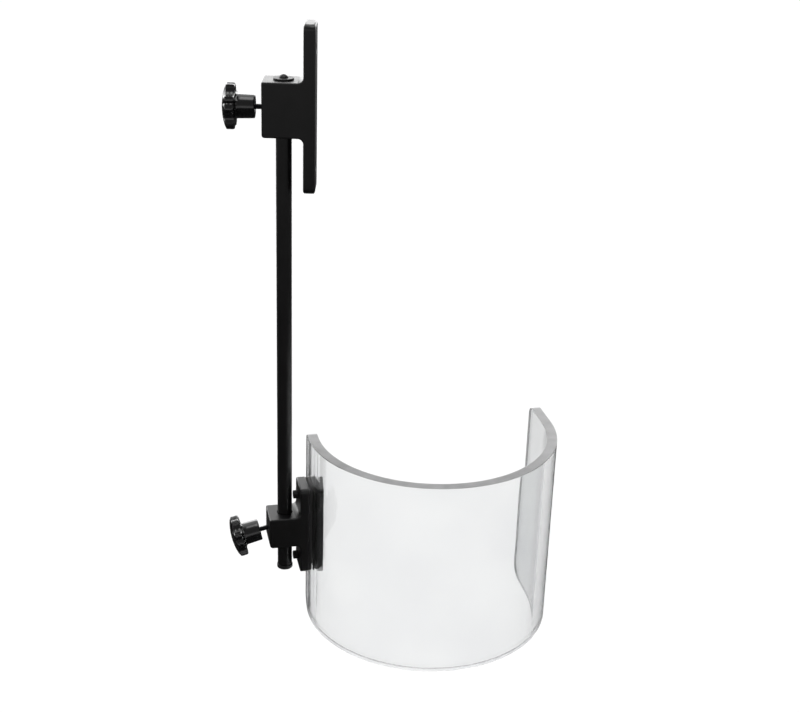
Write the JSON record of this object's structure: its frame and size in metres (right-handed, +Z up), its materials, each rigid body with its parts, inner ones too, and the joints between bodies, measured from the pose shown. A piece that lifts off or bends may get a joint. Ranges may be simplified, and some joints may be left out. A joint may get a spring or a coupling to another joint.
{
  "type": "adjustable machine guard",
  "caption": "Adjustable machine guard: a bolted bracket holds a round rod, and a clamp on it carries a clear bent shield; star knobs lock height and swing.",
  "frame": {"origin": "centre of the mounting bracket's flat mounting face, level with the middle of the block that holds the rod", "axes": "+X out of the mounting face, towards the machine; +Z up along the rod; -Y towards the person at the machine"},
  "size_m": [0.3855, 0.2277, 0.7155],
  "materials": {
    "bracket_paint": "satin black powder coat",
    "rod_steel": "black oxide, ground",
    "screw_steel": "black oxide",
    "stud_steel": "phosphated threads",
    "knob_plastic": "moulded gloss black",
    "pad_brass": "turned",
    "plug_plastic": "moulded black",
    "gasket_rubber": "smooth sheet",
    "shield_clear": "clear, polished edges"
  },
  "bodies": {
    "frame": {"mounting_bracket": "bracket_paint"},
    "stop_washer": {"rod_stop_washer": "screw_steel"},
    "rod": {"guard_rod": "rod_steel", "rod_stop_screw": "screw_steel", "rod_end_plug": "plug_plastic"},
    "upper_pad": {"upper_knob_pad": "pad_brass"},
    "upper_knob": {"upper_knob_grip": "knob_plastic", "upper_knob_stud": "stud_steel"},
    "guard": {"clamp_bracket": "bracket_paint", "outer_gasket": "gasket_rubber", "inner_gasket": "gasket_rubber", "backing_plate": "bracket_paint", "guard_shield": "shield_clear", "clamp_screws": "screw_steel"},
    "lower_pad": {"lower_knob_pad": "pad_brass"},
    "lower_knob": {"lower_knob_grip": "knob_plastic", "lower_knob_stud": "stud_steel"}
  },
  "joints": [
    {"name": "rod_lift", "type": "slide", "parent": "frame", "child": "stop_washer", "axis": [0, 0, 1], "range_m": [0, 0.2]},
    {"name": "rod_turn", "type": "hinge", "parent": "stop_washer", "child": "rod", "pos_m": [-0.0342, 0, 0], "axis": [0, 0, 1], "continuous": true},
    {"name": "clamp_slide", "type": "slide", "parent": "rod", "child": "guard", "axis": [0, 0, 1], "range_m": [-0.03, 0.095]},
    {"name": "upper_pad_travel", "type": "slide", "parent": "frame", "child": "upper_pad", "axis": [-1, 0, 0], "range_m": [0, 0.003]},
    {"name": "upper_knob_turn", "type": "hinge", "parent": "upper_pad", "child": "upper_knob", "pos_m": [-0.0562, 0, 0], "axis": [-1, 0, 0], "range_deg": [0, 1080]},
    {"name": "lower_pad_travel", "type": "slide", "parent": "guard", "child": "lower_pad", "axis": [-0.9491, -0.2017, -0.2419], "range_m": [0, 0.003]},
    {"name": "lower_knob_turn", "type": "hinge", "parent": "lower_pad", "child": "lower_knob", "pos_m": [-0.05376, -0.00416, -0.502], "axis": [-0.9491, -0.2017, -0.2419], "range_deg": [0, 1080]}
  ],
  "couplings": [
    {"joint": "upper_pad_travel", "follows": "upper_knob_turn", "m_per_rad": 0.00015915},
    {"joint": "lower_pad_travel", "follows": "lower_knob_turn", "m_per_rad": 0.00015915}
  ]
}
